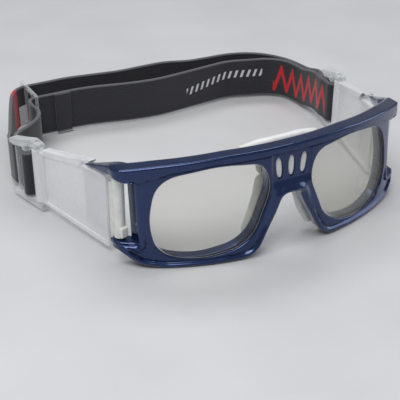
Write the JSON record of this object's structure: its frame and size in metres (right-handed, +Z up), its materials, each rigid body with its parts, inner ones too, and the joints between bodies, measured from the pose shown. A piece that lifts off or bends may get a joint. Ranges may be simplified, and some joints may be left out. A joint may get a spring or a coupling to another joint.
{
  "type": "sports protective goggles",
  "caption": "Wrap-around sports goggles with clear lenses, hinged translucent arms, strap buckles and an elastic head strap.",
  "frame": {"origin": "middle of the object's footprint, on the surface it stands on", "axes": "-Y out through the lenses, +X to the wearer's left, +Z up"},
  "size_m": [0.1894, 0.186, 0.0524],
  "materials": {
    "frame": "gloss metallic navy",
    "lens": "clear polished polycarbonate",
    "silicone": "satin translucent white",
    "arm": "translucent milky white",
    "tongue": "semi-clear white",
    "buckle": "clear gloss plastic",
    "steel": "bright",
    "webbing": "woven elastic"
  },
  "bodies": {
    "root": {"front_frame": "frame", "right_lens": "lens", "left_lens": "lens", "nose_cushion": "silicone", "right_hinge_pin": "steel", "left_hinge_pin": "steel", "strap_outer_run": "webbing", "strap_inner_run": "webbing", "strap_sewn_end": "webbing"},
    "right_arm": {"right_hinge_tongue": "tongue", "right_arm_shell": "arm"},
    "left_arm": {"left_hinge_tongue": "tongue", "left_arm_shell": "arm"},
    "right_buckle": {"right_buckle": "buckle", "right_buckle_pin": "buckle", "right_strap_loop": "webbing"},
    "left_buckle": {"left_buckle": "buckle", "left_buckle_pin": "buckle", "left_strap_loop": "webbing"},
    "slider": {"strap_slider": "buckle"}
  },
  "joints": [
    {"name": "right_arm_fold", "type": "hinge", "parent": "root", "child": "right_arm", "pos_m": [0.0715, -0.06475, 0.025], "axis": [0, 0, 1], "range_deg": [0, 52]},
    {"name": "left_arm_fold", "type": "hinge", "parent": "root", "child": "left_arm", "pos_m": [-0.0715, -0.06475, 0.025], "axis": [0, 0, -1], "range_deg": [0, 52]},
    {"name": "right_buckle_swivel", "type": "hinge", "parent": "right_arm", "child": "right_buckle", "pos_m": [0.08672, -0.00671, 0.018], "axis": [0, 0, 1], "range_deg": [-15, 15]},
    {"name": "left_buckle_swivel", "type": "hinge", "parent": "left_arm", "child": "left_buckle", "pos_m": [-0.08672, -0.00671, 0.018], "axis": [0, 0, -1], "range_deg": [-15, 15]},
    {"name": "slider_slide", "type": "slide", "parent": "root", "child": "slider", "axis": [1, 0, 0], "range_m": [0, 0.008]}
  ]
}
